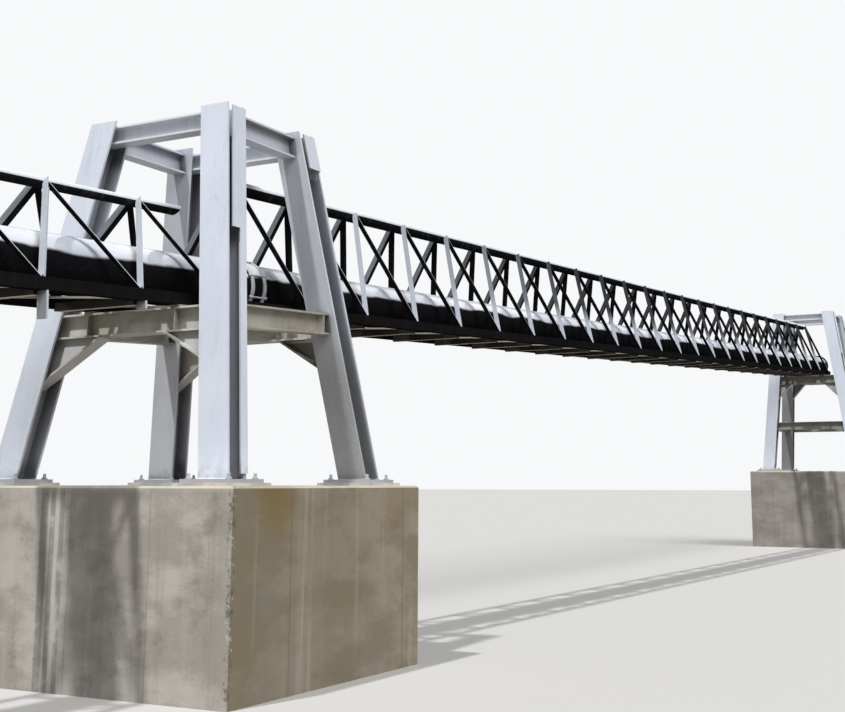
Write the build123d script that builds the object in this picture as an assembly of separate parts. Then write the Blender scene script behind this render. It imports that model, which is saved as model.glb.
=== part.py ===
from build123d import *
import math
import os

# A truss bridge that carries one large pipe between two battered steel towers.
# Everything is in millimetres of the 1:2 scale model, +X along the bridge, +Z up.
# The origin is the middle of the first pedestal's underside.

# Bridge line
BAY = 750.0
SLOPE = 0.053
CHORD_LEVEL = 2300.0
TOWER_1_X = 70.0

# Main truss, three chords with sloping sides
MAIN_BAYS = 24
MAIN_FIRST_NODE = 25.0
MAIN_END_GAP = 79.0
MAIN_RISE = 833.0
MAIN_TOP_CHORD = 96.0
MAIN_POST = 42.0
MAIN_DIAGONAL = 36.0
APPROACH_BAYS = 6
APPROACH_LAST_NODE = -163.0
APPROACH_TOP_END = -188.0
APPROACH_RISE = 590.0
APPROACH_TOP_CHORD = 68.0
APPROACH_POST = 44.0
APPROACH_DIAGONAL = 28.0
HALF_GAUGE = 345.0
WEB_FOOT = 335.0
TOP_NODE_SHIFT = 312.0
WEB_BITE = 3.0
BOTTOM_CHORD = 70.0
ANGLE_THICKNESS = 6.0
CHORD_OVERHANG = 70.0
TOP_OVERHANG = 90.0
NOSE_CUT = 60.0

# Floor members and bracing
BEAM_WIDTH = 60.0
BEAM_TOP = -42.0
BEAM_DEPTH = 50.0
LACING = 34.0
HANGER_PLATE = 14.0
HANGER_DROPS = (150.0, 45.0)

# Pipe
PIPE_DIAMETER = 344.0
PIPE_WALL = 10.0
PIPE_TOP = 309.0
PIPE_RUN_ON = 700.0
PIPE_REAR_RUN_ON = 150.0
FLANGE_DIAMETER = 400.0
FLANGE_THICKNESS = 26.0
COUPLING_WALL = 12.0
COUPLING_START = 330.0
COUPLING_END = 490.0
SADDLE_LENGTH = 46.0
SADDLE_WIDTH = 220.0

# Tower legs, wide-flange sections that lean inwards in both directions
LEG_WIDTH = 210.0
LEG_DEPTH = 166.0
LEG_FLANGE = 16.0
LEG_WEB = 12.0
BASE_HALF_X = 710.0
BASE_HALF_Y = 810.0
TOP_HALF_X = 377.0
TOP_HALF_Y = 455.0
TOWER_1_FOOT = 1170.0
TOWER_1_HEIGHT = 2300.0
TOWER_2_FOOT = 1408.0
TOWER_2_HEIGHT = 2955.0
TOWER_2_FOOT_SHIFT = -130.0
LOWER_RING_LEVEL = 2279.0

# Tower beams
TOP_BEAM_DROP = 35.0
TOP_BEAM_DEPTH = 115.0
TOP_SIDE_DEPTH = 140.0
SEAT_DEPTH = 150.0
SEAT_SIDE_DEPTH = 140.0
SEAT_SIDE_RAISE = 8.0
LOWER_DEPTH = 140.0
RING_WIDTH = 104.0
BEAM_FLANGE = 12.0
BEAM_WEB = 10.0
BEARING = 12.0
RIB = 8.0
RIB_INSET = 4.0
SIDE_RIB_GAP = 60.0
NEAR_KNEE = (290.0, 175.0)
FRONT_KNEE = (290.0, 200.0)
FAR_KNEE = (340.0, 238.0)
TOWER_2_KNEE = (210.0, 245.0)
KNEE_PLATE = 12.0
KNEE_FLANGE = 100.0
COVER_PLATE = 12.0
COVER_INSET = 40.0
EDGE_STRIP = 60.0
STRIP_CLEARANCE = 30.0
LONG_COVER = 800.0
SHORT_COVER = 230.0

# Foundations
PLATE_THICKNESS = 20.0
PLATE_MARGIN = 70.0
GROUT_THICKNESS = 18.0
GROUT_MARGIN = 30.0
PEDESTAL_1 = (1950.0, 2306.0)
PEDESTAL_2 = (2060.0, 2190.0)
PEDESTAL_CHAMFER = 12.0

ANGLE = math.degrees(math.atan(SLOPE))
LENGTH_FACTOR = math.cos(math.radians(ANGLE))
SPAN = (MAIN_FIRST_NODE + MAIN_BAYS * BAY + MAIN_END_GAP) * LENGTH_FACTOR
TOWER_2_X = TOWER_1_X + SPAN
PIPE_RADIUS = PIPE_DIAMETER / 2
PIPE_CENTRE = PIPE_TOP - PIPE_RADIUS
SIDES = {"right": -1, "left": 1}
ENDS = {"rear": -1, "front": 1}


def prism(points, vector):
    """A solid from a closed flat outline pushed along a vector."""
    wire = Wire.make_polygon([Vector(*p) for p in points], close=True)
    return Solid.extrude(Face(wire), Vector(*vector))


def block(x0, x1, y0, y1, z0, z1):
    """An upright box between two corners."""
    outline = [(x0, y0, z0), (x1, y0, z0), (x1, y1, z0), (x0, y1, z0)]
    return prism(outline, (0, 0, z1 - z0))


def bar(start, end, width, depth, across):
    """A square-cut bar between two points, its width along the given direction."""
    a = Vector(*start)
    b = Vector(*end)
    axis = (b - a).normalized()
    side = Vector(*across)
    side = (side - axis * side.dot(axis)).normalized()
    other = axis.cross(side)
    corners = [(-1, -1), (1, -1), (1, 1), (-1, 1)]
    outline = [a + side * (i * width / 2) + other * (j * depth / 2) for i, j in corners]
    return Solid.extrude(Face(Wire.make_polygon(outline, close=True)), b - a)


def angle_bar(start, end, outward, size):
    """An L section whose corner faces -X and whose free leg points outwards."""
    axis = Vector(*end) - Vector(*start)
    out = Vector(*outward).normalized()
    along = out.cross(axis).normalized()
    if along.X < 0:
        along = -along
    h = size / 2
    t = ANGLE_THICKNESS
    far = size - t / 2
    corners = [(-h, -t / 2), (h, -t / 2), (h, t / 2), (t - h, t / 2), (t - h, far), (-h, far)]
    outline = [Vector(*start) + along * i + out * j for i, j in corners]
    return Solid.extrude(Face(Wire.make_polygon(outline, close=True)), axis)


def i_outline(depth, width, flange, web):
    """The twelve corners of an I section about its centre, width first."""
    w = width / 2
    d = depth / 2
    t = web / 2
    f = d - flange
    return [
        (-w, -d), (w, -d), (w, -f), (t, -f), (t, f), (w, f),
        (w, d), (-w, d), (-w, f), (-t, f), (-t, -f), (-w, -f),
    ]


def fuse(shapes):
    """One shape from several that touch or cross."""
    first = shapes[0]
    if len(shapes) == 1:
        return first
    return first.fuse(*shapes[1:])


def on_slope(shape):
    """Moves a shape from the bridge line's own frame to the sloping line."""
    turned = shape.rotate(Axis.Y, -ANGLE)
    return turned.moved(Location((TOWER_1_X, 0, CHORD_LEVEL)))


def line_level(x, offset=0.0):
    """World height of the bridge line, or of a line at right angles above it."""
    return CHORD_LEVEL + SLOPE * (x - TOWER_1_X) + offset / LENGTH_FACTOR


# Towers


class Tower:
    def __init__(self, x, foot, height, foot_shift, knees):
        self.x = x
        self.foot = foot
        self.top = foot + height
        self.height = height
        self.foot_shift = foot_shift
        self.knees = knees

    def leg_at(self, end, side, z):
        """Centre of a leg at a height."""
        share = (z - self.foot) / self.height
        x = BASE_HALF_X + (TOP_HALF_X - BASE_HALF_X) * share
        y = BASE_HALF_Y + (TOP_HALF_Y - BASE_HALF_Y) * share
        return self.x + end * x, side * y + self.foot_shift * (1 - share)

    def leaning(self, end, side, z0, z1, outline):
        """A prism that leans with a leg, from an outline about the leg's centre."""
        x0, y0 = self.leg_at(end, side, z0)
        x1, y1 = self.leg_at(end, side, z1)
        points = [(x0 + px, y0 + py, z0) for px, py in outline]
        return prism(points, (x1 - x0, y1 - y0, z1 - z0))

    def envelope(self, end, side, z0, z1):
        w = LEG_WIDTH / 2
        d = LEG_DEPTH / 2
        return self.leaning(end, side, z0, z1, [(-d, -w), (d, -w), (d, w), (-d, w)])

    def leg(self, end, side):
        section = [(b, a) for a, b in i_outline(LEG_DEPTH, LEG_WIDTH, LEG_FLANGE, LEG_WEB)]
        return self.leaning(end, side, self.foot, self.top, section)


def biggest(shape):
    return max(shape.solids(), key=lambda solid: solid.volume)


def cross_beam(tower, end, top, depth, knees):
    """A beam across the bridge that runs into the recesses of two legs, with knees below."""
    middle = top - depth / 2
    x, left = tower.leg_at(end, 1, middle)
    right = tower.leg_at(end, -1, middle)[1]
    spare = 14.0
    section = i_outline(depth, RING_WIDTH, BEAM_FLANGE, BEAM_WEB)
    outline = [(x + a, right - spare, middle + b) for a, b in section]
    pieces = [prism(outline, (0, left - right + 2 * spare, 0))]
    for side, (run, drop) in knees.items():
        pieces.extend(knee(tower, end, side, top - depth, run, drop))
        y = side * HALF_GAUGE
        pieces.append(rib(x, y, (RING_WIDTH - RIB_INSET, RIB), middle, depth))
    legs = [tower.leg(end, s) for s in (-1, 1)]
    return biggest(fuse(pieces).cut(*legs))


def rib(x, y, size, middle, depth):
    """An upright plate between a beam's flanges, on both sides of its web."""
    half_x = size[0] / 2
    half_y = size[1] / 2
    reach = depth / 2 - BEAM_FLANGE / 2
    return block(x - half_x, x + half_x, y - half_y, y + half_y, middle - reach, middle + reach)


def knee(tower, end, side, low, run, drop):
    """A triangular web and the flange on its sloping edge, down to a leg's web."""
    corner_x, corner_y = tower.leg_at(end, side, low)
    foot_x, foot_y = tower.leg_at(end, side, low - drop)
    inner = side * LEG_WIDTH / 2
    tip = Vector(corner_x, corner_y - inner - side * run, low)
    foot = Vector(foot_x, foot_y - inner, low - drop)
    step = foot - tip
    next_y = tower.leg_at(end, side, foot.Z + step.Z)[1]
    gap = side * (foot_y - foot.Y)
    after = side * (next_y - foot.Y - step.Y)
    foot = foot + step * ((gap - 5.0) / (gap - after))
    root_x, root_y = tower.leg_at(end, side, foot.Z)
    points = [(tip.X, tip.Y, low), (corner_x, corner_y, low), (root_x, root_y, foot.Z)]
    points.append((root_x, foot.Y, foot.Z))
    half = KNEE_PLATE / 2
    web = prism([(p[0] - half, p[1], p[2]) for p in points], (KNEE_PLATE, 0, 0))
    flange = bar((tip.X, tip.Y, low), (root_x, foot.Y, foot.Z), KNEE_FLANGE, KNEE_PLATE, (1, 0, 0))
    return [web, flange]


def side_beam(tower, side, top_at, depth, slope):
    """A beam along the bridge between two legs, level or parallel to the bridge."""
    middle = top_at - depth / 2
    y = tower.leg_at(1, side, middle)[1]
    half = BASE_HALF_X
    rise = slope * half
    section = i_outline(depth, RING_WIDTH, BEAM_FLANGE, BEAM_WEB)
    outline = [(tower.x - half, y + a, middle - rise + b) for a, b in section]
    pieces = [prism(outline, (2 * half, 0, 2 * rise))]
    if slope:
        reach = tower.leg_at(1, side, middle)[0] - tower.x - LEG_DEPTH / 2 - SIDE_RIB_GAP
        for x in (-reach, reach):
            level = middle + slope * x
            pieces.append(rib(tower.x + x, y, (RIB, RING_WIDTH - RIB_INSET), level, depth))
    tools = [tower.envelope(e, side, tower.foot, tower.top) for e in (-1, 1)]
    return inner_solid(fuse(pieces).cut(*tools), tower.x)


def inner_solid(shape, x):
    """The piece that spans the tower's middle, without the cut-off ends."""
    return min(shape.solids(), key=lambda s: abs(s.center().X - x))


def tower_nodes(name, tower, lower_ring):
    nodes = {}
    for end_name, end in ENDS.items():
        for side_name, side in SIDES.items():
            nodes[f"{name}_leg_{side_name}_{end_name}"] = tower.leg(end, side)
    top = tower.top - TOP_BEAM_DROP
    nodes[f"{name}_top_cross_beams"] = Compound([
        cross_beam(tower, e, top, TOP_BEAM_DEPTH, {}) for e in (-1, 1)
    ])
    nodes[f"{name}_top_side_beams"] = Compound([
        side_beam(tower, s, top, TOP_SIDE_DEPTH, 0.0) for s in (-1, 1)
    ])
    nodes[f"{name}_seat_beams"] = Compound([
        cross_beam(tower, e, seat_level(tower, e), SEAT_DEPTH, tower.knees[e]) for e in (-1, 1)
    ])
    middle = line_level(tower.x, -BOTTOM_CHORD - BEARING + SEAT_SIDE_RAISE)
    nodes[f"{name}_seat_side_beams"] = Compound([
        side_beam(tower, s, middle, SEAT_SIDE_DEPTH, SLOPE) for s in (-1, 1)
    ])
    if lower_ring:
        nodes[f"{name}_lower_cross_beams"] = Compound([
            cross_beam(tower, e, lower_ring, LOWER_DEPTH, {}) for e in (-1, 1)
        ])
        nodes[f"{name}_lower_side_beams"] = Compound([
            side_beam(tower, s, lower_ring, LOWER_DEPTH, 0.0) for s in (-1, 1)
        ])
    nodes[f"{name}_cover_plates"] = Compound([
        cover_plate(tower, e, s, LONG_COVER if e < 0 else SHORT_COVER)
        for e in (-1, 1) for s in (-1, 1)
    ])
    nodes[f"{name}_base_plates"] = Compound(pads(tower, 0.0, PLATE_THICKNESS, PLATE_MARGIN))
    nodes[f"{name}_grout_pads"] = Compound(
        pads(tower, PLATE_THICKNESS, GROUT_THICKNESS, PLATE_MARGIN + GROUT_MARGIN)
    )
    return nodes


def seat_x(tower, end):
    """Where the chords cross a seat beam."""
    level = line_level(tower.x, -BOTTOM_CHORD - BEARING) - SEAT_DEPTH / 2
    return tower.leg_at(end, 1, level)[0]


def seat_level(tower, end):
    """Height of a seat beam's top, the low edge of the sloping bearing above it."""
    x = seat_x(tower, end) - RING_WIDTH / 2
    return line_level(x, -BOTTOM_CHORD - BEARING)


def cover_plate(tower, end, side, length):
    """A plate over a leg's outer recess near its top, and on a rear leg a strip on down."""
    edge = side * LEG_WIDTH / 2
    outer = edge + side * COVER_PLATE
    half = LEG_DEPTH / 2
    near = COVER_INSET - half
    top = tower.top - 12.0
    outline = [(near, edge), (half, edge), (half, outer), (near, outer)]
    plate = tower.leaning(end, side, top - length, top, outline)
    if end > 0:
        return plate
    near = half - EDGE_STRIP
    outline = [(near, edge), (half, edge), (half, outer), (near, outer)]
    strip = tower.leaning(end, side, tower.foot + STRIP_CLEARANCE, top, outline)
    return biggest(plate.fuse(strip).clean())


def pads(tower, drop, thickness, margin):
    """Four rectangular pads under the legs."""
    shapes = []
    for end in (-1, 1):
        for side in (-1, 1):
            x, y = tower.leg_at(end, side, tower.foot)
            hx = LEG_DEPTH / 2 + margin
            hy = LEG_WIDTH / 2 + margin
            top = tower.foot - drop
            shapes.append(block(x - hx, x + hx, y - hy, y + hy, top - thickness, top))
    return shapes


def pedestal(x, y, size, top):
    length, width = size
    solid = block(x - length / 2, x + length / 2, y - width / 2, y + width / 2, 0.0, top)
    edges = [e for e in solid.edges() if e.center().Z > top - 1.0]
    return solid.chamfer(PEDESTAL_CHAMFER, None, edges)


# Trusses, each in the bridge line's own frame


def bottom_nodes(first, count):
    return [first + BAY * k for k in range(count)]


def web_side(nodes, side, rise, head_y, post, diagonal):
    """One sloping side: a leaning post and a diagonal in every bay, fused."""
    low = -15.0
    outward = (0, side * (rise - low), WEB_FOOT - head_y)
    pieces = []
    for k, u in enumerate(nodes[:-1]):
        foot = (u, side * WEB_FOOT, low)
        head = (u + TOP_NODE_SHIFT, side * head_y, rise)
        after = (nodes[k + 1], side * WEB_FOOT, low)
        pieces.append(angle_bar(foot, head, outward, post))
        pieces.append(angle_bar(head, after, outward, diagonal))
    return fuse(pieces)


def chord(start, end, y, low, size):
    return block(start, end, y - size / 2, y + size / 2, low, low + size)


def lacing(nodes, low):
    """Flat bars in a zigzag under the pipe, from side to side of each bay."""
    inner = HALF_GAUGE - BOTTOM_CHORD / 2
    shapes = []
    for k in range(len(nodes) - 1):
        a = nodes[k] + BEAM_WIDTH / 2 + LACING
        b = nodes[k + 1] - BEAM_WIDTH / 2 - LACING
        shapes.append(bar((a, inner, low), (b, -inner, low), LACING, 10.0, (1, 0, 0)))
    return shapes


def truss_nodes(name, nodes, rise, top_size, top_end, bars):
    first = nodes[0] - CHORD_OVERHANG
    last = nodes[-1] + CHORD_OVERHANG
    head_first = nodes[0] + TOP_NODE_SHIFT - TOP_OVERHANG
    top = rod(head_first, top_end, top_size / 2, rise)
    top = top.cut(nose(top_end, rise, top_size))
    result = {f"{name}_top_chord": top}
    for side_name, side in SIDES.items():
        low = chord(first, last, side * HALF_GAUGE, -BOTTOM_CHORD, BOTTOM_CHORD)
        web = web_side(nodes, side, rise, top_size / 2 - WEB_BITE, *bars)
        result[f"{name}_bottom_chord_{side_name}"] = low
        result[f"{name}_web_{side_name}"] = web.cut(top, low)
    inner = HALF_GAUGE - BOTTOM_CHORD / 2
    half = SADDLE_WIDTH / 2
    beams = []
    saddles = []
    for u in nodes:
        a = u - BEAM_WIDTH / 2
        b = u + BEAM_WIDTH / 2
        beams.append(block(a, b, -inner, inner, BEAM_TOP - BEAM_DEPTH, BEAM_TOP))
        c = u - SADDLE_LENGTH / 2
        d = u + SADDLE_LENGTH / 2
        saddles.append(block(c, d, -half, half, BEAM_TOP, PIPE_CENTRE - PIPE_RADIUS * 0.55))
    braces = []
    for shape in lacing(nodes, -BOTTOM_CHORD + 16.0):
        clipped = shape.intersect(block(first, last, -inner, inner, -2 * BOTTOM_CHORD, 0.0))
        braces.extend(clipped.solids())
    result[f"{name}_cross_beams"] = Compound(beams)
    result[f"{name}_bottom_lacing"] = Compound(braces)
    pipe_space = rod(first, last, PIPE_RADIUS, PIPE_CENTRE)
    result[f"{name}_pipe_saddles"] = Compound([s.cut(pipe_space).solids()[0] for s in saddles])
    return result


def nose(end, rise, size):
    """The wedge that is cut away below the slanting end of a top chord."""
    low = rise - size / 2 - 1.0
    high = rise + size / 2 + 1.0
    outline = [(end - NOSE_CUT, -size, low), (end + 1.0, -size, low), (end + 1.0, -size, high)]
    return prism(outline, (0, 2 * size, 0))


def hanger_plates(nodes):
    """Two plates that hang below the right chord near the tower."""
    outer = -HALF_GAUGE - BOTTOM_CHORD / 2
    half = HANGER_PLATE / 2
    shapes = []
    for u, drop in zip(nodes[-3:-1], HANGER_DROPS):
        low = -BOTTOM_CHORD - drop
        shapes.append(block(u - half, u + half, outer, outer + BOTTOM_CHORD, low, -BOTTOM_CHORD))
    return Compound(shapes)


def rod(start, end, radius, level):
    """A round bar along the bridge line."""
    cylinder = Solid.make_cylinder(radius, end - start)
    turned = cylinder.rotate(Axis.Y, 90)
    return turned.moved(Location((start, 0, level)))


def tube(start, end, outer, inner):
    """A round tube on the pipe's axis."""
    return rod(start, end, outer, PIPE_CENTRE).cut(rod(start, end, inner, PIPE_CENTRE))


def pipe_nodes(start, end):
    blank = FLANGE_DIAMETER / 2
    return {
        "pipe": tube(start, end, PIPE_RADIUS, PIPE_RADIUS - PIPE_WALL),
        "pipe_coupling": tube(COUPLING_START, COUPLING_END, PIPE_RADIUS + COUPLING_WALL, PIPE_RADIUS),
        "pipe_end_flange_rear": rod(start - FLANGE_THICKNESS, start, blank, PIPE_CENTRE),
        "pipe_end_flange_front": rod(end, end + FLANGE_THICKNESS, blank, PIPE_CENTRE),
    }


def bearings(tower, ends):
    """Plates between the chords and the seat beams, wedge-shaped to take the slope."""
    shapes = []
    for end in ends:
        x = seat_x(tower, end)
        a = x - RING_WIDTH / 2
        b = x + RING_WIDTH / 2
        low = seat_level(tower, end)
        for side in (-1, 1):
            y0 = side * HALF_GAUGE - BOTTOM_CHORD / 2
            outline = [
                (a, y0, low), (b, y0, low),
                (b, y0, line_level(b, -BOTTOM_CHORD)), (a, y0, line_level(a, -BOTTOM_CHORD)),
            ]
            shapes.append(prism(outline, (0, BOTTOM_CHORD, 0)))
    return Compound(shapes)


def build():
    parts = {}
    rear_knees = {-1: NEAR_KNEE, 1: FAR_KNEE}
    front_knees = {-1: FRONT_KNEE, 1: FAR_KNEE}
    both = {-1: TOWER_2_KNEE, 1: TOWER_2_KNEE}
    knees_1 = {-1: rear_knees, 1: front_knees}
    tower_1 = Tower(TOWER_1_X, TOWER_1_FOOT, TOWER_1_HEIGHT, 0.0, knees_1)
    tower_2 = Tower(TOWER_2_X, TOWER_2_FOOT, TOWER_2_HEIGHT, TOWER_2_FOOT_SHIFT, {-1: both, 1: both})
    under_plate = PLATE_THICKNESS + GROUT_THICKNESS
    parts["pedestal_1"] = pedestal(0.0, 0.0, PEDESTAL_1, TOWER_1_FOOT - under_plate)
    top = TOWER_2_FOOT - under_plate
    parts["pedestal_2"] = pedestal(TOWER_2_X, TOWER_2_FOOT_SHIFT, PEDESTAL_2, top)
    parts.update(tower_nodes("tower_1", tower_1, None))
    parts.update(tower_nodes("tower_2", tower_2, LOWER_RING_LEVEL))
    parts["tower_1_bearings"] = bearings(tower_1, (-1, 1))
    parts["tower_2_bearings"] = bearings(tower_2, (-1,))
    main = bottom_nodes(MAIN_FIRST_NODE, MAIN_BAYS + 1)
    start = APPROACH_LAST_NODE - BAY * APPROACH_BAYS
    approach = bottom_nodes(start, APPROACH_BAYS + 1)
    main_end = main[-2] + TOP_NODE_SHIFT + TOP_OVERHANG
    main_bars = (MAIN_POST, MAIN_DIAGONAL)
    approach_bars = (APPROACH_POST, APPROACH_DIAGONAL)
    sloped = truss_nodes("main", main, MAIN_RISE, MAIN_TOP_CHORD, main_end, main_bars)
    sloped.update(truss_nodes(
        "approach", approach, APPROACH_RISE, APPROACH_TOP_CHORD, APPROACH_TOP_END, approach_bars
    ))
    sloped["approach_hanger_plates"] = hanger_plates(approach)
    pipe_end = main[-1] + CHORD_OVERHANG + PIPE_RUN_ON
    sloped.update(pipe_nodes(approach[0] - CHORD_OVERHANG - PIPE_REAR_RUN_ON, pipe_end))
    for name, shape in sloped.items():
        parts[name] = on_slope(shape)
    return parts


os.makedirs("parts", exist_ok=True)
for name, shape in build().items():
    shape.label = name
    export_step(shape, f"parts/{name}.step")
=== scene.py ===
import math
import bmesh
import bpy
from mathutils import Matrix, Vector


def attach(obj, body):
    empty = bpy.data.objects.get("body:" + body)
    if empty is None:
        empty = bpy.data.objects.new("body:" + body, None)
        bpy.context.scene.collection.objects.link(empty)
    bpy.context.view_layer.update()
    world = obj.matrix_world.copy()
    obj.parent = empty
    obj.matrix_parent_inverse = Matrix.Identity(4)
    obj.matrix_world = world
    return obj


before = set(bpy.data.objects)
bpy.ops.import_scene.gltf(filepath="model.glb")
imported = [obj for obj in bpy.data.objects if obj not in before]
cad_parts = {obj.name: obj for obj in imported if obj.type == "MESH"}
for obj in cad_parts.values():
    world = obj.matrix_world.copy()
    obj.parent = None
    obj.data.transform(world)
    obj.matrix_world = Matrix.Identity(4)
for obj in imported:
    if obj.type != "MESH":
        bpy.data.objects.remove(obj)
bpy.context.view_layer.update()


def rgb(red, green, blue):
    return (red, green, blue, 1.0)


def shade(colour, share):
    """The same colour, darkened to a share of itself."""
    return (colour[0] * share, colour[1] * share, colour[2] * share, 1.0)


# Camera, set from the photograph's vanishing lines
CAMERA_PLACE = Vector((-6.3043, -5.3133, 1.1489))
CAMERA_RIGHT = Vector((0.465939, -0.884817, 0.000704))
CAMERA_UP = Vector((-0.149338, -0.077857, 0.985716))
LENS = 53.41
SENSOR_WIDTH = 36.0
SHIFT = (-0.04737, -0.10309)
FAR_CLIP = 500.0

# Light: a high sun, a wide soft lamp on its right and a weak sky.
# Each lamp has the direction towards it, its strength and its spread in degrees.
LAMPS = {
    "sun": ((-0.51, 0.096, 0.855), 2.2, 2.0),
    "soft_lamp": ((-0.25, -0.62, 0.74), 2.4, 40.0),
}
SKY_COLOUR = rgb(0.84, 0.91, 1.0)
SKY_STRENGTH = 0.17
BACKDROP = rgb(0.93, 0.94, 0.95)
FLOOR_SEEN = rgb(0.56, 0.55, 0.53)
FLOOR_BOUNCE = rgb(0.16, 0.145, 0.12)
FLOOR_REACH = 200.0

# Places and sizes taken from the model, in metres.
# Each tower has its centre and the level of its legs' feet.
TOWERS = {"1": (0.07, 0.0, 1.170), "2": (18.14863, -0.13, 1.408)}
MIDSPAN = 9.0
FOOT_X = 0.710
FOOT_Y = 0.810
UNDER_FOOT = 0.038
LEG_DEPTH = 0.166
LEG_WIDTH = 0.210
LEG_FLANGE = 0.016
LEG_WEB = 0.012
CHORD_LEVEL = 2.300
SLOPE = 0.053
PIPE_CENTRE = 0.137
PIPE_RADIUS = 0.172

# Anchor bolts and foot welds
CORNERS = [(i, j) for i in (-1, 1) for j in (-1, 1)]
BOLT_X = 0.118
BOLT_Y = 0.140
ANCHOR_NUT = 0.019
ANCHOR_REACH = 0.022
NUT_TURNS = (0.4, 0.9)
WELD_SIZE = 0.008
WELD_BEAD = 0.012
WELD_SWELL = 0.12
WELD_HOLLOW = 0.42

# A bolt. Widths and the nut's height are shares of the nut's size, and the rod's tip is
# in shares of the rod's own radius. The other heights are in metres.
WASHER_TOP = 0.003
WASHER = ((1.05, 0.0), (1.1, 0.0008), (1.1, 0.0026), (1.0, WASHER_TOP))
NUT_HEIGHT = 0.5
NUT_FOOT = 0.82
NUT_WIDTH = 0.9
NUT_CROWN = 0.76
NUT_FOOT_TOP = 0.004
NUT_CROWN_RISE = 0.002
ROD_WIDTH = 0.48
ROD_TIP = 0.8
ROD_TIP_RISE = 0.3

# Pipe fittings, at places along the bridge from the first tower.
# An outline round the pipe has heights above its surface and places along it.
SEAM_PLACES = (-4.3, -2.9, 3.9, 6.9, 9.9, 12.9, 15.9, 18.2)
SEAM = ((-0.002, -0.006), (0.0015, -0.005), (0.003, 0.0), (0.0015, 0.005), (-0.002, 0.006))
CLAMP_PLACES = (0.345, 0.475)
CLAMP = (
    (0.010, -0.015), (0.019, -0.015), (0.022, -0.012),
    (0.022, 0.012), (0.019, 0.015), (0.010, 0.015),
)
CHAMFER = 0.001
TIE_COUNT = 8
TIE_CIRCLE = PIPE_RADIUS + 0.021
TIE_START = -0.030
TIE_LENGTH = 0.190
TIE_RADIUS = 0.006
TIE_NUT = 0.010
TIE_NUT_HEIGHT = 0.012
TIE_NUT_STARTS = (0.003, 0.175)
# The inner face of each blank flange, and the turn that its nuts need
FLANGE_FACES = ((-4.883, 0.0), (18.795, math.pi))
FLANGE_BOLTS = 12
FLANGE_CIRCLE = 0.186
FLANGE_NUT = 0.011
FLANGE_REACH = 0.008

# Sides of round pieces and nuts
PIPE_SIDES = 72
WASHER_SIDES = 20
ROD_SIDES = 14
TIE_SIDES = 12
NUT_SIDES = 6

# Masks
NOISE_RANGE = (0.3, 0.7)
FACING = (0.5, 0.9)
# The recess mask that places painted shade
RECESS_SHADE_RANGE = (0.80, 0.35)
RECESS_SHADE_SAMPLES = 6
OVAL_EDGE = (1.4, 0.1)
TOWER_CHANGE = 0.1
# Where the lattice's pale film of dust and painted light thins: heights above the bottom chords, and
# places along the bridge
WEB_HEIGHTS = (0.16, 0.42)
WEB_PLACES = (1.0, 6.5)

# Colours of the steel
BLACK = rgb(0.013, 0.013, 0.014)
BLACK_DUST = rgb(0.15, 0.155, 0.17)
# Dust and painted light along the top of the top chord
TUBE_DUST_AND_LIGHT = rgb(0.74, 0.77, 0.83)
# Dust and painted light on the webs' up-facing faces
WEB_DUST_AND_LIGHT = rgb(0.53, 0.565, 0.63)
BEAM_UNDERSIDE = rgb(0.62, 0.54, 0.42)
BEAM_SIDES = rgb(0.030, 0.025, 0.021)
# Painted light on the lacing's undersides
LACING_UNDERSIDE_PAINTED_LIGHT = rgb(0.50, 0.45, 0.37)
LACING_DUST = rgb(0.58, 0.57, 0.54)
PLATE_GREY = rgb(0.46, 0.48, 0.52)
PLATE_DUST = rgb(0.58, 0.61, 0.67)
FLANGE_BLACK = rgb(0.050, 0.048, 0.046)
FLANGE_DUST = rgb(0.50, 0.52, 0.57)
RUST_SPOT = rgb(0.20, 0.085, 0.04)
TUBE_ROUGH = (0.32, 0.48)
WEB_ROUGH = (0.34, 0.50)

# Colours and places on the legs; a pair is a colour and the one that it drifts to
# Lit and shaded copies of the leg paint, as painted light and shade
LEG_LIT = (rgb(0.78, 0.83, 0.93), rgb(0.70, 0.75, 0.85))
LEG_SHADED = (rgb(0.74, 0.77, 0.84), rgb(0.66, 0.69, 0.75))
# Painted light on the legs' rear faces
LEG_REAR_PAINTED_LIGHT = rgb(0.95, 0.97, 1.0)
LEG_RUN = rgb(0.38, 0.39, 0.42)
# Painted shade for the legs' recesses
LEG_RECESS_SHADE = rgb(0.055, 0.057, 0.066)
THIN_RECESS_SHADE = rgb(0.20, 0.205, 0.22)
# Painted shadow low on two legs
LEG_PAINTED_SHADOW = rgb(0.20, 0.20, 0.19)
LEG_SCUFF = rgb(0.45, 0.45, 0.46)
SOIL = rgb(0.40, 0.33, 0.25)
# The lower parts of two legs that get painted shadow: (low, high, softness) along x, y and z, and a
# share
PAINTED_SHADOW_LEGS = (
    (((0.2, 1.2, 0.1), (-1.2, 0.0, 0.1), (1.0, 1.75, 0.65)), 0.64),
    (((18.3, 19.2, 0.1), (-0.13, 1.0, 0.1), (1.2, 2.5, 0.9)), 0.85),
)

# Colours and places on the ring beams
OLIVE = (rgb(0.48, 0.46, 0.40), rgb(0.33, 0.31, 0.26))
# Painted light on the ring's rear faces
OLIVE_REAR_PAINTED_LIGHT = (rgb(0.82, 0.80, 0.74), rgb(0.62, 0.60, 0.53))
# Painted shade on the second tower's ring
OLIVE_FAR_PAINTED_SHADE = rgb(0.10, 0.10, 0.095)
RING_TOP = rgb(0.66, 0.67, 0.68)
# Painted shade in the ring's recesses
RING_RECESS_SHADE = rgb(0.16, 0.15, 0.125)
RING_RUST = rgb(0.26, 0.135, 0.085)
KNEE_FLANGE = rgb(0.62, 0.62, 0.62)
# Painted shade on one knee, and the box that holds it
KNEE_PAINTED_SHADE = rgb(0.11, 0.085, 0.07)
PAINTED_SHADE_KNEE = ((0.2, 0.9, 0.02), (-0.62, -0.20, 0.02), (1.80, 2.075, 0.01))

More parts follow.
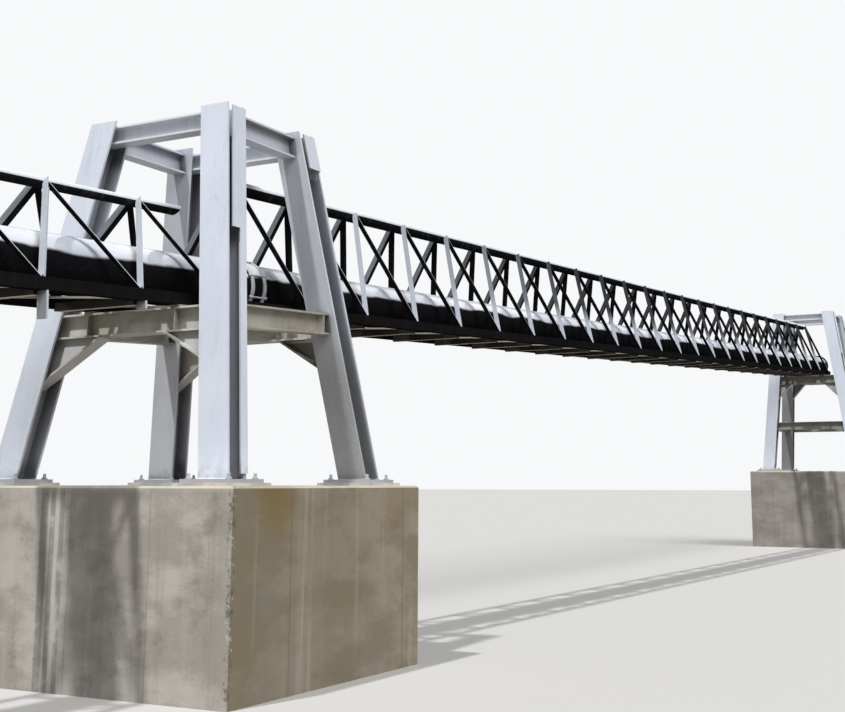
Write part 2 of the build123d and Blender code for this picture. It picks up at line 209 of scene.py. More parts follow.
# Colours of the pipe
PIPE_BLACK = rgb(0.010, 0.010, 0.012)
PIPE_BROWN = rgb(0.050, 0.038, 0.030)
# Dust and painted light along the pipe's top
PIPE_DUST_AND_LIGHT = (rgb(0.77, 0.79, 0.84), rgb(0.58, 0.61, 0.69))
PIPE_SPECK = rgb(0.42, 0.40, 0.37)

# Colours and places on the concrete and grout
CAST_GREY = (rgb(0.65, 0.605, 0.555), rgb(0.455, 0.42, 0.375))
CAST_BROWN = (rgb(0.405, 0.35, 0.27), rgb(0.30, 0.255, 0.18))
CAST_OLIVE = rgb(0.20, 0.165, 0.10)
# Painted shade on the second pedestal
CAST_FAR_PAINTED_SHADE = rgb(0.15, 0.135, 0.12)
CAST_PALE = rgb(0.64, 0.61, 0.57)
WET = rgb(0.28, 0.26, 0.22)
# Painted shadow of the truss on the first pedestal's rear face
TRUSS_PAINTED_SHADOW = rgb(0.24, 0.235, 0.21)
LIME = rgb(0.70, 0.69, 0.65)
# Painted shadow streaks beside it
STREAK_PAINTED_SHADOW = rgb(0.20, 0.20, 0.175)
OCHRE = rgb(0.25, 0.18, 0.075)
CHIP_PALE = rgb(0.72, 0.70, 0.66)
CHIP_DARK = rgb(0.13, 0.12, 0.10)
JOINT_LINE = rgb(0.19, 0.175, 0.15)
BLOW_HOLE = rgb(0.14, 0.13, 0.11)
RIM = rgb(0.62, 0.58, 0.50)
GROUT = (rgb(0.66, 0.62, 0.55), rgb(0.47, 0.43, 0.37))
# Bands on the rear face, each with its middle, half its width and its softness across the bridge
TRUSS_SHADOW_BAND = (-0.27, 0.24, 0.015)
LIME_BAND = (0.075, 0.06, 0.02)
SHADOW_STREAK_BANDS = ((0.185, 0.020, 0.015), (0.120, 0.010, 0.015), (0.050, 0.012, 0.015))
# Stains on the right face, each with its place along the bridge and its share
OCHRE_STAINS = ((-0.58, 0.85), (0.70, 0.45))
OCHRE_WIDTH = 0.20
OCHRE_LEVEL = 1.08
OCHRE_DROP = 0.24
CHIPPED_EDGE = ((-1.0, -0.952, 0.012), (-1.2, -1.128, 0.012))
# Form panels: where the first joint is, and the gap to the next
PANELS_ALONG = (-0.444, 1.22)
PANELS_ACROSS = (-0.594, 0.58)
JOINT_HALF = 0.002
JOINT_SOFT = 0.007


# Shader nodes
class Graph:
    """A material's shader nodes, with short calls that add and join them."""

    def __init__(self, name):
        self.material = bpy.data.materials.new(name)
        self.material.use_nodes = True
        self.tree = self.material.node_tree
        self.shader = self.tree.nodes["Principled BSDF"]
        self.place = self.node("TexCoord").outputs["Object"]
        self.x, self.y, self.z = self.split(self.place)
        self.east, self.north, self.up = self.split(self.node("NewGeometry").outputs["Normal"])

    def node(self, kind, **inputs):
        """Adds a node and feeds its inputs, whose names have _ in place of a space."""
        node = self.tree.nodes.new("ShaderNode" + kind)
        for name, value in inputs.items():
            self.feed(node.inputs[name.replace("_", " ")], value)
        return node

    def feed(self, socket, value):
        """Links a socket to another node's output, or sets it to a plain value."""
        if isinstance(value, bpy.types.NodeSocket):
            self.tree.links.new(value, socket)
        else:
            socket.default_value = value

    def split(self, vector):
        return self.node("SeparateXYZ", Vector=vector).outputs

    def math(self, operation, *values):
        node = self.node("Math")
        node.operation = operation
        for socket, value in zip(node.inputs, values):
            self.feed(socket, value)
        return node.outputs[0]

    def plus(self, first, second):
        return self.math("ADD", first, second)

    def minus(self, first, second):
        return self.math("SUBTRACT", first, second)

    def both(self, first, second):
        return self.math("MULTIPLY", first, second)

    def noise(self, scale, detail, rough, stretch=None):
        place = self.place
        if stretch:
            place = self.node("Mapping", Vector=place, Scale=stretch).outputs[0]
        node = self.node("TexNoise", Vector=place, Scale=scale, Detail=detail, Roughness=rough)
        return node.outputs[0]

    def streaks(self, across, down, detail, rough):
        """Noise that is drawn out into upright streaks."""
        return self.noise(1.0, detail, rough, (across, across, down))

    def cells(self, scale):
        """The distance from the nearest of many scattered points."""
        return self.node("TexVoronoi", Vector=self.place, Scale=scale).outputs["Distance"]

    def step(self, value, low, high, start=0.0, end=1.0):
        """A smooth step from start to end as the value goes from low to high."""
        node = self.node("MapRange", Value=value, From_Min=low, From_Max=high, To_Min=start, To_Max=end)
        node.interpolation_type = "SMOOTHSTEP"
        return node.outputs[0]

    def spread(self, noise, start, end):
        """A noise's usual range, laid out from start to end."""
        return self.step(noise, *NOISE_RANGE, start, end)

    def by_tower(self, first, second):
        """One value on the first tower's half of the bridge, and another on the second's."""
        return self.step(self.x, MIDSPAN, MIDSPAN + TOWER_CHANGE, first, second)

    def facing_rear(self):
        """One on faces that look back to the bridge's low end."""
        return self.step(self.east, -FACING[0], -FACING[1])

    def facing_right(self):
        """One on faces that look to the bridge's right side."""
        return self.step(self.north, -FACING[0], -FACING[1])

    def recess_shade_mask(self, reach):
        """One deep inside a recess or a corner, and zero out in the open; it places painted shade."""
        node = self.node("AmbientOcclusion", Distance=reach)
        node.samples = RECESS_SHADE_SAMPLES
        return self.step(node.outputs["AO"], *RECESS_SHADE_RANGE)

    def band(self, value, centre, half, soft):
        """One inside a band about a value, and zero outside it."""
        gap = self.math("ABSOLUTE", self.minus(value, centre))
        return self.step(gap, half + soft, half)

    def region(self, *limits):
        """One inside a soft box, given as (low, high, softness) along x, y and z."""
        inside = 1.0
        for value, (low, high, soft) in zip((self.x, self.y, self.z), limits):
            inside = self.both(inside, self.band(value, (low + high) / 2, (high - low) / 2, soft))
        return inside

    def oval(self, *axes):
        """One inside a soft oval, given as (coordinate, centre, reach) for each of its axes."""
        total = 0.0
        for value, centre, reach in axes:
            gap = self.math("DIVIDE", self.minus(value, centre), reach)
            total = self.plus(total, self.both(gap, gap))
        return self.step(total, *OVAL_EDGE)

    def blend(self, factor, first, second):
        """Mixes two colours, by the colour sockets of a mix node that has several kinds."""
        node = self.node("Mix")
        node.data_type = "RGBA"
        for index, value in ((0, factor), (6, first), (7, second)):
            self.feed(node.inputs[index], value)
        return node.outputs[2]

    def mottle(self, noise, limits, first, second):
        """A colour that drifts to another as a noise goes from low to high."""
        return self.blend(self.step(noise, *limits), first, second)

    def cover(self, colour, over, where, share=None):
        """The colour, covered by another where a mask says, up to a share."""
        if share is not None:
            where = self.both(where, share)
        return self.blend(where, colour, over)

    def bump(self, height, strength, distance):
        node = self.node("Bump", Strength=strength, Distance=distance, Height=height)
        self.feed(self.shader.inputs["Normal"], node.outputs[0])

    def finish(self, colour, rough, specular=0.5):
        self.feed(self.shader.inputs["Base Color"], colour)
        self.feed(self.shader.inputs["Roughness"], rough)
        self.shader.inputs["Specular IOR Level"].default_value = specular
        return self.material


# Steel
def weathered(name, dull, pale, edge, rough, rust=0.0, specular=0.5, thin=0.0):
    """Paint in a first colour on faces that look down past an edge and a second on faces that look up
    past it, with run marks and rust; on tubes and webs the second colour is dust and painted light.
    """
    g = Graph(name)
    drift = g.noise(scale=1.7, detail=4.0, rough=0.6)
    fine = g.noise(scale=34.0, detail=4.0, rough=0.6)
    runs = g.streaks(across=16.0, down=0.7, detail=3.0, rough=0.5)
    # The second colour goes on faces that look up past the edge
    lit_side = g.step(g.plus(g.up, g.spread(drift, -0.03, 0.03)), *edge)
    if thin:
        lit_side = g.both(lit_side, lit_film_left(g, thin))
    low = g.mottle(drift, (0.35, 0.68), dull, shade(dull, 0.82))
    high = g.mottle(fine, (0.35, 0.75), pale, shade(pale, 0.88))
    colour = g.blend(lit_side, low, high)
    colour = g.cover(colour, shade(pale, 0.45), g.step(runs, 0.52, 0.80, end=0.10))
    if rust:
        patches = g.step(g.noise(scale=7.0, detail=6.0, rough=0.7), 0.60, 0.72)
        spots = g.both(patches, g.step(fine, 0.4, 0.6))
        colour = g.cover(colour, RUST_SPOT, spots, rust)
    g.bump(fine, strength=0.15, distance=0.002)
    return g.finish(colour, g.spread(drift, *rough), specular)


def lit_film_left(g, thin):
    """The share left of the pale film of dust and painted light, which thins high on the web and along
    the main span.
    """
    deck = g.plus(g.both(g.x, SLOPE), CHORD_LEVEL)
    high = g.step(g.minus(g.z, deck), *WEB_HEIGHTS)
    along = g.step(g.x, *WEB_PLACES)
    return g.minus(1.0, g.both(g.both(high, along), thin))


def leg_paint(name, shade_share, recess_shade_colour):
    """Pale lavender paint with run marks, scuffs and splashed soil, painted shade in its recesses and
    on faces that look down, painted light on its rear faces, and painted shadow low on two legs.

    The larger the shade share, the more painted shade in the recesses and the less painted light on the
    rear faces.
    """
    g = Graph(name)
    drift = g.noise(scale=1.3, detail=4.0, rough=0.6)
    fine = g.noise(scale=42.0, detail=4.0, rough=0.6)
    runs = g.streaks(across=22.0, down=0.5, detail=4.0, rough=0.55)
    # Faces that look down take the shaded copy, as painted shade
    lit_side = g.step(g.plus(g.up, g.spread(drift, -0.02, 0.02)), -0.11, 0.09)
    low = g.mottle(drift, (0.30, 0.65), *LEG_SHADED)
    high = g.mottle(drift, (0.35, 0.70), *LEG_LIT)
    colour = g.blend(lit_side, low, high)
    # Upright faces that look back are painted lighter, as painted light
    rear_painted_light = g.both(g.facing_rear(), 1.0 - shade_share)
    colour = g.cover(colour, LEG_REAR_PAINTED_LIGHT, rear_painted_light, g.band(g.up, 0.0, 0.02, 0.03))
    colour = g.cover(colour, LEG_RUN, g.step(runs, 0.50, 0.85, end=0.30))
    # Painted shade in the recesses, up to the shade share
    depth = g.step(drift, 0.2, 0.6, shade_share * 0.85, shade_share)
    colour = g.cover(colour, recess_shade_colour, g.recess_shade_mask(0.16), depth)
    colour = leg_painted_shadow(g, colour, fine)
    scuffs = g.step(g.noise(scale=9.0, detail=7.0, rough=0.75), 0.60, 0.70)
    colour = g.cover(colour, LEG_SCUFF, scuffs, 0.35)
    colour = foot_soil(g, colour)
    g.bump(fine, strength=0.10, distance=0.0015)
    return g.finish(colour, g.spread(fine, 0.34, 0.52))


def leg_painted_shadow(g, colour, fine):
    """Painted shadow low on one leg of each tower."""
    overlay = 0.0
    for limits, share in PAINTED_SHADOW_LEGS:
        overlay = g.plus(overlay, g.both(g.region(*limits), share))
    return g.cover(colour, LEG_PAINTED_SHADOW, overlay, g.step(fine, 0.2, 0.6, 0.8, 1.0))


def foot_soil(g, colour):
    """Soil that rain splashed on the legs' feet."""
    above = g.minus(g.z, g.by_tower(TOWERS["1"][2], TOWERS["2"][2]))
    splash = g.step(g.noise(scale=15.0, detail=6.0, rough=0.7), 0.42, 0.66)
    return g.cover(colour, SOIL, g.step(above, 0.16, 0.0, end=0.45), splash)


def ring_paint():
    """Olive primer, mottled and rusty, with paler tops and knee flanges, painted light on its rear
    faces, and painted shade on one knee, in its recesses and on the second tower's beams.
    """
    g = Graph("ring_paint")
    drift = g.noise(scale=3.2, detail=5.0, rough=0.65)
    fine = g.noise(scale=30.0, detail=5.0, rough=0.65)
    # Faces that look back are painted lighter, as painted light
    rear = g.mottle(drift, (0.38, 0.62), *OLIVE_REAR_PAINTED_LIGHT)
    olive = g.mottle(drift, (0.38, 0.62), *OLIVE)
    olive = g.cover(olive, rear, g.facing_rear())
    # Painted shade on the second tower's ring
    olive = g.cover(olive, OLIVE_FAR_PAINTED_SHADE, g.by_tower(0.0, 0.65))
    colour = g.cover(olive, RING_TOP, g.step(g.up, 0.03, 0.20))
    under = g.both(g.step(g.up, -0.25, -0.40), g.step(g.up, -0.97, -0.92))
    colour = g.cover(colour, KNEE_FLANGE, under)
    # Painted shade on one knee
    colour = g.cover(colour, KNEE_PAINTED_SHADE, g.region(*PAINTED_SHADE_KNEE), 0.85)
    # Painted shade in the recesses
    colour = g.cover(colour, RING_RECESS_SHADE, g.recess_shade_mask(0.12), 0.30)
    patches = g.step(g.noise(scale=2.4, detail=5.0, rough=0.7), 0.54, 0.70)
    rust = g.both(patches, g.step(fine, 0.35, 0.6))
    colour = g.cover(colour, RING_RUST, rust, 0.65)
    g.bump(fine, strength=0.18, distance=0.002)
    return g.finish(colour, g.spread(drift, 0.42, 0.62))


def pipe_coating():
    """Black coating without shine, under a pale film along the top that is dust and painted light."""
    g = Graph("pipe_coating")
    drift = g.noise(scale=2.6, detail=4.0, rough=0.6, stretch=(0.5, 1.0, 1.0))
    fine = g.noise(scale=28.0, detail=5.0, rough=0.6)
    # The pale top film is dust and painted light
    lit_side = g.step(g.plus(g.up, g.spread(drift, -0.10, 0.10)), 0.27, 0.40)
    black = g.cover(PIPE_BLACK, PIPE_BROWN, g.step(fine, 0.55, 0.75, end=0.4))
    overlay = g.mottle(drift, (0.42, 0.66), *PIPE_DUST_AND_LIGHT)
    overlay = g.cover(overlay, PIPE_SPECK, g.step(fine, 0.55, 0.75, end=0.35))
    colour = g.blend(lit_side, black, overlay)
    rough = g.plus(g.step(lit_side, 0.0, 1.0, 0.20, 0.55), g.spread(fine, -0.04, 0.05))
    g.bump(fine, strength=0.08, distance=0.002)
    return g.finish(colour, rough, specular=0.0)


# Concrete
def concrete():
    """Cast concrete with water marks, stains, a chipped corner, form joints and blow holes."""
    g = Graph("concrete")
    patches = g.noise(scale=4.6, detail=6.0, rough=0.62)
    grain = g.noise(scale=70.0, detail=5.0, rough=0.7)
    streaks = g.streaks(across=10.0, down=0.30, detail=4.0, rough=0.55)
    right = g.facing_right()
    joints = form_joints(g)
    holes = g.both(g.step(g.cells(19.0), 0.085, 0.05), g.step(patches, 0.45, 0.6))
    colour = cast_colour(g, right)
    colour = water_marks(g, colour, patches, streaks)
    colour = rear_bands(g, colour, patches, streaks)
    colour = ochre_stains(g, colour, patches, right)
    colour = chipped_corner(g, colour)
    colour = g.cover(colour, JOINT_LINE, joints, 0.55)
    colour = g.cover(colour, BLOW_HOLE, holes, 0.7)
    colour = pale_rim(g, colour, patches, right)
    height = g.minus(g.minus(grain, g.both(joints, 1.6)), g.both(holes, 2.0))
    g.bump(height, strength=0.35, distance=0.004)
    return g.finish(colour, g.spread(grain, 0.80, 0.95), specular=0.3)


def cast_colour(g, right):
    """Clouded grey, brown on the right and olive towards its near corner, with painted shade on the
    second pedestal.
    """
    clouds = g.noise(scale=1.6, detail=6.0, rough=0.66, stretch=(1.0, 1.0, 2.0))
    grey = g.mottle(clouds, (0.40, 0.60), *CAST_GREY)
    brown = g.mottle(clouds, (0.40, 0.60), *CAST_BROWN)
    colour = g.blend(right, grey, brown)
    colour = g.cover(colour, CAST_OLIVE, right, g.step(g.x, 0.8, -0.1, end=0.30))
    # Painted shade on the second pedestal
    return g.cover(colour, CAST_FAR_PAINTED_SHADE, g.by_tower(0.0, 0.45))


def water_marks(g, colour, patches, streaks):
    """Wet patches, and dark and pale upright streaks."""
    colour = g.cover(colour, WET, g.step(patches, 0.54, 0.70, end=0.55))
    colour = g.cover(colour, WET, g.step(streaks, 0.50, 0.72, end=0.42))
    return g.cover(colour, CAST_PALE, g.step(streaks, 0.46, 0.28, end=0.30))


def rear_bands(g, colour, patches, streaks):
    """A band of painted truss shadow, a lime streak and streaks of painted shadow, down the first
    pedestal's rear face.
    """
    rear = g.both(g.facing_rear(), g.by_tower(1.0, 0.0))
    # A band of painted truss shadow
    colour = g.cover(colour, TRUSS_PAINTED_SHADOW, g.both(rear, g.band(g.y, *TRUSS_SHADOW_BAND)), 0.22)
    lime = g.both(g.band(g.y, *LIME_BAND), g.step(streaks, 0.48, 0.40))
    colour = g.cover(colour, LIME, g.both(rear, lime), 0.6)
    # Streaks of painted shadow
    for place in SHADOW_STREAK_BANDS:
        shadow_streak = g.both(g.band(g.y, *place), g.step(patches, 0.35, 0.5))
        colour = g.cover(colour, STREAK_PAINTED_SHADOW, g.both(rear, shadow_streak), 0.6)
    return colour


def ochre_stains(g, colour, patches, right):
    """Brown stains that run down from the rim of the right face."""
    for place, share in OCHRE_STAINS:
        stain = g.oval((g.x, place, OCHRE_WIDTH), (g.z, OCHRE_LEVEL, OCHRE_DROP))
        mottle = g.step(patches, 0.30, 0.60, 0.25, share)
        colour = g.cover(colour, OCHRE, g.both(right, stain), mottle)
    return colour


def chipped_corner(g, colour):
    """Pale and dark chips down the corner that the camera sees."""
    edge = g.region(*CHIPPED_EDGE)
    worn = g.noise(scale=19.0, detail=5.0, rough=0.7)
    colour = g.cover(colour, CHIP_PALE, edge, g.step(worn, 0.57, 0.61, end=0.65))
    return g.cover(colour, CHIP_DARK, edge, g.step(worn, 0.46, 0.42, end=0.65))


def form_joints(g):
    """Upright lines where the form panels met, fainter on the end faces."""
    sides = g.step(g.math("ABSOLUTE", g.north), *FACING)
    ends = g.step(g.math("ABSOLUTE", g.east), *FACING)
    along = g.both(sides, upright_lines(g, g.x, *PANELS_ALONG))
    across = g.both(g.both(ends, 0.4), upright_lines(g, g.y, *PANELS_ACROSS))
    return g.math("MAXIMUM", along, across)


def upright_lines(g, value, start, gap):
    """Thin lines, the first at the start and the others a gap apart."""
    share = g.math("FRACT", g.math("DIVIDE", g.minus(value, start - gap / 2), gap))
    return g.band(share, 0.5, JOINT_HALF / gap, JOINT_SOFT / gap)


def pale_rim(g, colour, patches, right):
    """A bleached rim round the top, but for the right face."""
    top = g.by_tower(TOWERS["1"][2] - UNDER_FOOT, TOWERS["2"][2] - UNDER_FOOT)
    rim = g.both(g.step(g.minus(top, g.z), 0.045, 0.01), g.minus(1.0, right))
    return g.cover(colour, RIM, rim, g.step(patches, 0.35, 0.65, 0.2, 0.8))


def grout_mix():
    g = Graph("grout")
    clouds = g.noise(scale=6.0, detail=5.0, rough=0.6)
    grain = g.noise(scale=90.0, detail=4.0, rough=0.6)
    colour = g.mottle(clouds, (0.35, 0.65), *GROUT)
    g.bump(g.plus(grain, g.both(clouds, 3.0)), strength=0.5, distance=0.004)
    return g.finish(colour, 0.92)


# Camera, light and floor
def add_object(name, data):
    thing = bpy.data.objects.new(name, data)
    bpy.context.scene.collection.objects.link(thing)
    return thing


def make_camera():
    data = bpy.data.cameras.new("camera")
    data.lens = LENS
    data.sensor_width = SENSOR_WIDTH
    data.shift_x, data.shift_y = SHIFT
    data.clip_end = FAR_CLIP
    camera = add_object("camera", data)
    back = CAMERA_RIGHT.cross(CAMERA_UP)
    turn = Matrix((CAMERA_RIGHT, CAMERA_UP, back)).transposed()
    camera.matrix_world = Matrix.Translation(CAMERA_PLACE) @ turn.to_4x4()
    bpy.context.scene.camera = camera


def make_lamp(name, toward, strength, spread):
    data = bpy.data.lights.new(name, "SUN")
    data.energy = strength
    data.angle = math.radians(spread)
    lamp = add_object(name, data)
    lamp.rotation_mode = "QUATERNION"
    lamp.rotation_quaternion = Vector(toward).to_track_quat("Z", "Y")


def empty_tree(owner):
    """The node tree of a new material or world, with nothing in it."""
    owner.use_nodes = True
    owner.node_tree.nodes.clear()
    return owner.node_tree


def plain_shader(tree, kind, colour):
    node = tree.nodes.new("ShaderNode" + kind)
    node.inputs["Color"].default_value = colour
    return node


def by_ray(tree, seen, other):
    """One shader for the camera and for reflections, and another for the rest of the light."""
    path = tree.nodes.new("ShaderNodeLightPath")
    mix = tree.nodes.new("ShaderNodeMixShader")
    direct = path.outputs["Is Camera Ray"]
    for ray in ("Is Glossy Ray", "Is Transmission Ray"):
        either = tree.nodes.new("ShaderNodeMath")
        either.operation = "MAXIMUM"
        tree.links.new(direct, either.inputs[0])
        tree.links.new(path.outputs[ray], either.inputs[1])
        direct = either.outputs[0]
    tree.links.new(direct, mix.inputs["Fac"])
    tree.links.new(other.outputs[0], mix.inputs[1])
    tree.links.new(seen.outputs[0], mix.inputs[2])
    return mix.outputs[0]


def make_sky():
    """A weak blue light from all round, and a pale backdrop where it is seen."""
    world = bpy.data.worlds.new("world")
    bpy.context.scene.world = world
    tree = empty_tree(world)
    seen = plain_shader(tree, "Background", BACKDROP)
    fill = plain_shader(tree, "Background", SKY_COLOUR)
    fill.inputs["Strength"].default_value = SKY_STRENGTH
    out = tree.nodes.new("ShaderNodeOutputWorld")
    tree.links.new(by_ray(tree, seen, fill), out.inputs["Surface"])


def make_floor():
    """A pale floor that throws little light back at the bridge."""
    reach = FLOOR_REACH
    corners = [(-reach, -reach, 0), (reach, -reach, 0), (reach, reach, 0), (-reach, reach, 0)]
    mesh = bpy.data.meshes.new("floor")
    mesh.from_pydata(corners, [], [(0, 1, 2, 3)])
    material = bpy.data.materials.new("floor")
    tree = empty_tree(material)
    seen = plain_shader(tree, "BsdfDiffuse", FLOOR_SEEN)
    bounce = plain_shader(tree, "BsdfDiffuse", FLOOR_BOUNCE)
    out = tree.nodes.new("ShaderNodeOutputMaterial")
    tree.links.new(by_ray(tree, seen, bounce), out.inputs["Surface"])
    mesh.materials.append(material)
    add_object("floor", mesh)


# Mesh forms; an outline is a list of (radius, height) pairs
def round_points(radius, count, start=0.0):
    """Points on a circle, the first one a share of a step round it."""
    for k in range(count):
        angle = 2 * math.pi * (k + start) / count
        yield radius * math.cos(angle), radius * math.sin(angle)


def circles(mesh, turn, outline, sides):
    """Adds a circle of points for each pair of an outline."""
    rings = []
    for radius, height in outline:
        ring = [turn @ Vector((x, y, height)) for x, y in round_points(radius, sides)]
        rings.append([mesh.verts.new(place) for place in ring])
    return rings


def skin(mesh, low, high):
    """Adds the faces between two closed rows of points."""
    for k in range(len(low)):
        j = (k + 1) % len(low)
        mesh.faces.new((low[k], low[j], high[j], high[k]))


def turned(mesh, turn, outline, sides):
    """Adds a solid form of revolution, or a prism."""
    rings = circles(mesh, turn, outline, sides)
    for low, high in zip(rings, rings[1:]):
        skin(mesh, low, high)
    mesh.faces.new(reversed(rings[0]))
    mesh.faces.new(rings[-1])


def hoop(mesh, turn, outline, sides):
    """Adds a ring whose cross-section is a closed outline."""
    rings = circles(mesh, turn, outline, sides)
    for low, high in zip(rings, rings[1:] + rings[:1]):
        skin(mesh, low, high)


def chamfered(radius, low, high):
    """The outline of a short rod or nut with chamfered ends."""
    inner = radius - CHAMFER
    return [(inner, low), (radius, low + CHAMFER), (radius, high - CHAMFER), (inner, high)]


def bolt(mesh, turn, size, reach):
    """A washer, a chamfered nut and the end of a threaded rod, in proportion to the nut."""
    nut = size * NUT_WIDTH
    rod = size * ROD_WIDTH
    top = size * NUT_HEIGHT
    tip = top + reach
    turned(mesh, turn, [(size * share, height) for share, height in WASHER], WASHER_SIDES)
    low = [(size * NUT_FOOT, WASHER_TOP), (nut, NUT_FOOT_TOP)]
    high = [(nut, top), (size * NUT_CROWN, top + NUT_CROWN_RISE)]
    turned(mesh, turn, low + high, NUT_SIDES)
    rod_end = [(rod, top), (rod, tip), (rod * ROD_TIP, tip + rod * ROD_TIP_RISE)]
    turned(mesh, turn, rod_end, ROD_SIDES)


def fillet(mesh, first, second, level):
    """Adds a beaded weld run along one edge of a section, on a level plate."""
    p = Vector((*first, level))
    q = Vector((*second, level))
    along = (q - p).normalized()
    out = Vector((along.y, -along.x, 0.0)) * WELD_SIZE
    high = Vector((0, 0, WELD_SIZE))
    corners = [high, (out + high) * WELD_HOLLOW, out, Vector((0, 0, 0))]
    count = max(2, int((q - p).length / WELD_BEAD))
    rows = []
    for k in range(count + 1):
        here = p.lerp(q, k / count)
        swell = 1.0 + WELD_SWELL * (k % 2)
        rows.append([mesh.verts.new(here + corner * swell) for corner in corners])
    for low, top in zip(rows, rows[1:]):
        skin(mesh, low, top)
    mesh.faces.new(rows[0])
    mesh.faces.new(reversed(rows[-1]))


# Small pieces of the bridge
def keep(name, mesh, material, smooth=False):
    """Turns collected faces into a piece of the bridge."""
    bmesh.ops.recalc_face_normals(mesh, faces=mesh.faces)
    data = bpy.data.meshes.new(name)
    mesh.to_mesh(data)
    mesh.free()
    data.materials.append(material)
    if smooth:
        data.shade_smooth()
    piece = add_object(name, data)
    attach(piece, "root")


def feet(tower):
    """The places of a tower's four feet."""
    x, y, z = TOWERS[tower]
    return [(x + i * FOOT_X, y + j * FOOT_Y, z) for i, j in CORNERS]


def anchor_bolts(tower, material):
    """Four bolts a foot, each nut turned its own way."""
    mesh = bmesh.new()
    for x, y, z in feet(tower):
        for i, j in CORNERS:
            place = Matrix.Translation((x + i * BOLT_X, y + j * BOLT_Y, z))
            turn = Matrix.Rotation(NUT_TURNS[0] * i + NUT_TURNS[1] * j, 4, "Z")
            bolt(mesh, place @ turn, ANCHOR_NUT, ANCHOR_REACH)
    keep("anchor_bolts_" + tower, mesh, material)


def section_outline():
    """The leg's wide-flange outline about its centre, flanges facing along the bridge."""
    a = LEG_DEPTH / 2
    b = LEG_WIDTH / 2
    c = a - LEG_FLANGE
    d = LEG_WEB / 2
    half = [(a, -b), (a, b), (c, b), (c, d), (-c, d), (-c, b), (-a, b)]
    return half + [(-a, -b), (-c, -b), (-c, -d), (c, -d), (c, -b)]


def foot_welds(tower, material):
    mesh = bmesh.new()
    outline = section_outline()
    for x, y, z in feet(tower):
        ring = [(x + a, y + b) for a, b in outline]
        for first, second in zip(ring, ring[1:] + ring[:1]):
            fillet(mesh, first, second, z)
    keep("foot_welds_" + tower, mesh, material)


def on_pipe(u):
    """A frame on the sloping pipe's centre line, with its Z axis along the bridge."""
    angle = math.atan(SLOPE)
    c = math.cos(angle)
    s = math.sin(angle)
    x = TOWERS["1"][0] + u * c - PIPE_CENTRE * s
    z = CHORD_LEVEL + u * s + PIPE_CENTRE * c
    turn = Matrix(((0, -s, c), (1, 0, 0), (0, c, s))).to_4x4()
    return Matrix.Translation((x, 0.0, z)) @ turn


def hoops(mesh, places, outline):
    """Adds a ring round the pipe at each place along it."""
    raised = [(PIPE_RADIUS + height, along) for height, along in outline]
    for u in places:
        hoop(mesh, on_pipe(u), raised, PIPE_SIDES)


def pipe_seams(material):
    """Weld seams round the pipe, one every few metres."""
    mesh = bmesh.new()
    hoops(mesh, SEAM_PLACES, SEAM)
    keep("pipe_seams", mesh, material, smooth=True)


def coupling_clamps(material):
    """Two bare rings round the coupling, with the bolts that draw them together."""
    mesh = bmesh.new()
    hoops(mesh, CLAMP_PLACES, CLAMP)
    first = on_pipe(CLAMP_PLACES[0])
    for x, y in round_points(TIE_CIRCLE, TIE_COUNT, 0.5):
        turn = first @ Matrix.Translation((x, y, TIE_START))
        turned(mesh, turn, chamfered(TIE_RADIUS, 0, TIE_LENGTH), TIE_SIDES)
        for low in TIE_NUT_STARTS:
            turned(mesh, turn, chamfered(TIE_NUT, low, low + TIE_NUT_HEIGHT), NUT_SIDES)
    keep("coupling_clamps", mesh, material)


def flange_bolts(material):
    """Nuts on the inner face of each blank flange, between the pipe and the flange's edge."""
    mesh = bmesh.new()
    for u, angle in FLANGE_FACES:
        for x, y in round_points(FLANGE_CIRCLE, FLANGE_BOLTS):
            place = on_pipe(u) @ Matrix.Translation((x, y, 0))
            bolt(mesh, place @ Matrix.Rotation(angle, 4, "X"), FLANGE_NUT, FLANGE_REACH)
    keep("blank_flange_bolts", mesh, material)


def dress(material, *endings):
    """Gives a material to the CAD nodes whose names end in one of these ways."""
    for name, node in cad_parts.items():
        if name.endswith(endings):
            node.data.materials.clear()
            node.data.materials.append(material)


bpy.context.scene.view_settings.view_transform = "Standard"
make_camera()
for lamp_name, lamp in LAMPS.items():
    make_lamp(lamp_name, *lamp)
make_sky()
make_floor()

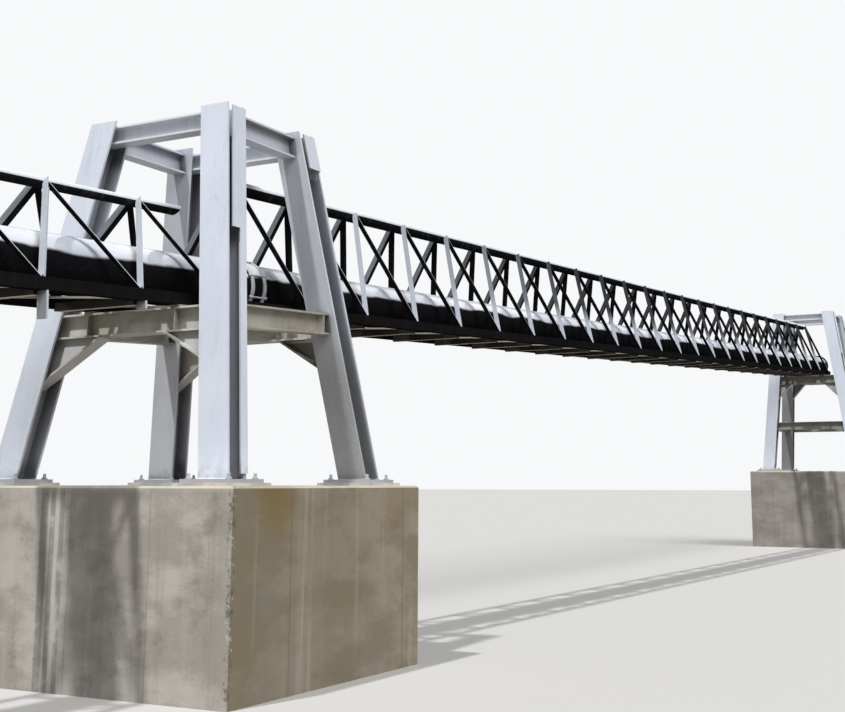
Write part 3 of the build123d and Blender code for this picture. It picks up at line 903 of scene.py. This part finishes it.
# A leg paint's second argument sets its painted shade in the recesses; the less of it, the more painted
# light on the rear faces
leg = leg_paint("leg_paint", 0.92, LEG_RECESS_SHADE)
near_leg = leg_paint("near_leg_paint", 0.82, THIN_RECESS_SHADE)
top_ring = leg_paint("top_ring_paint", 0.12, THIN_RECESS_SHADE)
ring = ring_paint()
pipe = pipe_coating()
black = weathered("truss_paint", BLACK, BLACK_DUST, (0.5, 0.8), TUBE_ROUGH, specular=0.0)
# The top chord's pale upper side is dust and painted light
tube = weathered("tube_paint", BLACK, TUBE_DUST_AND_LIGHT, (0.12, 0.22), TUBE_ROUGH, specular=0.0)
# The near web's pale faces are dust and painted light
near_web = weathered("web_paint", BLACK, WEB_DUST_AND_LIGHT, (0.05, 0.18), WEB_ROUGH, specular=0.0, thin=0.94)
# A darker copy for the far web, as painted shade
far_web_shaded_dust_and_light = shade(WEB_DUST_AND_LIGHT, 0.42)
far_web = weathered("far_web_paint", BLACK, far_web_shaded_dust_and_light, (0.05, 0.30), WEB_ROUGH, specular=0.0, thin=0.8)
beam = weathered("beam_paint", BEAM_UNDERSIDE, BEAM_SIDES, (-0.95, -0.6), (0.4, 0.5), specular=0.1)
# The lacing's undersides are painted lighter, as painted light
brace = weathered("lacing_paint", LACING_UNDERSIDE_PAINTED_LIGHT, LACING_DUST, (0.02, 0.14), (0.5, 0.65))
plate = weathered("plate_paint", PLATE_GREY, PLATE_DUST, (0.1, 0.4), (0.4, 0.6), rust=0.7)
flange = weathered(
    "flange_paint", FLANGE_BLACK, FLANGE_DUST, (0.0, 0.5), (0.28, 0.50), rust=0.6, specular=0.4
)

dress(leg, "left_rear", "right_rear", "left_front", "right_front", "cover_plates", "hanger_plates")
dress(near_leg, "1_leg_right_rear", "top_side_beams")
dress(top_ring, "top_cross_beams")
dress(ring, "seat_beams", "seat_side_beams", "lower_cross_beams", "lower_side_beams", "bearings")
dress(black, "chord_left", "chord_right", "saddles")
dress(beam, "main_cross_beams", "approach_cross_beams")
dress(tube, "top_chord")
dress(brace, "lacing")
dress(near_web, "web_right")
dress(far_web, "web_left")
dress(plate, "base_plates")
dress(pipe, "pipe", "pipe_coupling")
dress(flange, "flange_rear", "flange_front")
dress(concrete(), "pedestal_1", "pedestal_2")
dress(grout_mix(), "grout_pads")

for tower in TOWERS:
    anchor_bolts(tower, plate)
    foot_welds(tower, leg)
pipe_seams(pipe)
coupling_clamps(plate)
flange_bolts(flange)
